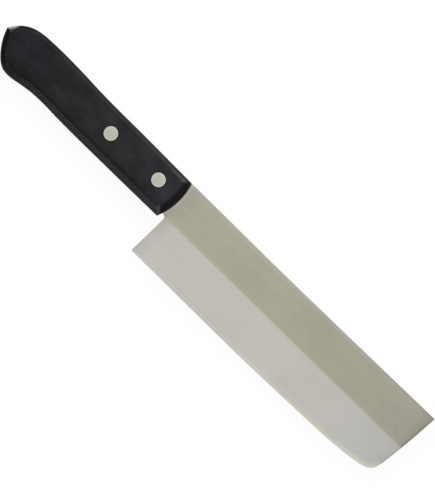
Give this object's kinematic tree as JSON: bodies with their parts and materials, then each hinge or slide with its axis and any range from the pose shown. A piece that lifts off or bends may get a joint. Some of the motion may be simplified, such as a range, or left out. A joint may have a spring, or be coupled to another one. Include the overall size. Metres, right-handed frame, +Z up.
{
  "type": "vegetable knife",
  "caption": "Kitchen knife with a tall square-ended blade, a wide ground bevel on each side and a dark riveted wooden handle, lying on its left side.",
  "frame": {"origin": "middle of the footprint of the knife lying on its left side, on the surface that it lies on", "axes": "+X from the butt to the tip, +Y from the cutting edge to the spine, +Z up through the thickness, out of the right side"},
  "size_m": [0.2894, 0.0464, 0.0175],
  "materials": {
    "blade_steel": "fine satin, brighter on the wide bevel than on the flat",
    "handle_wood": "near-black resin-laminated wood, sanded to a soft sheen",
    "rivet_steel": "ground flush and polished"
  },
  "bodies": {
    "root": {"blade": "blade_steel", "right_scale": "handle_wood", "left_scale": "handle_wood", "tang_spacer": "handle_wood", "front_rivet_male": "rivet_steel", "front_rivet_female": "rivet_steel", "rear_rivet_male": "rivet_steel", "rear_rivet_female": "rivet_steel"}
  },
  "joints": []
}
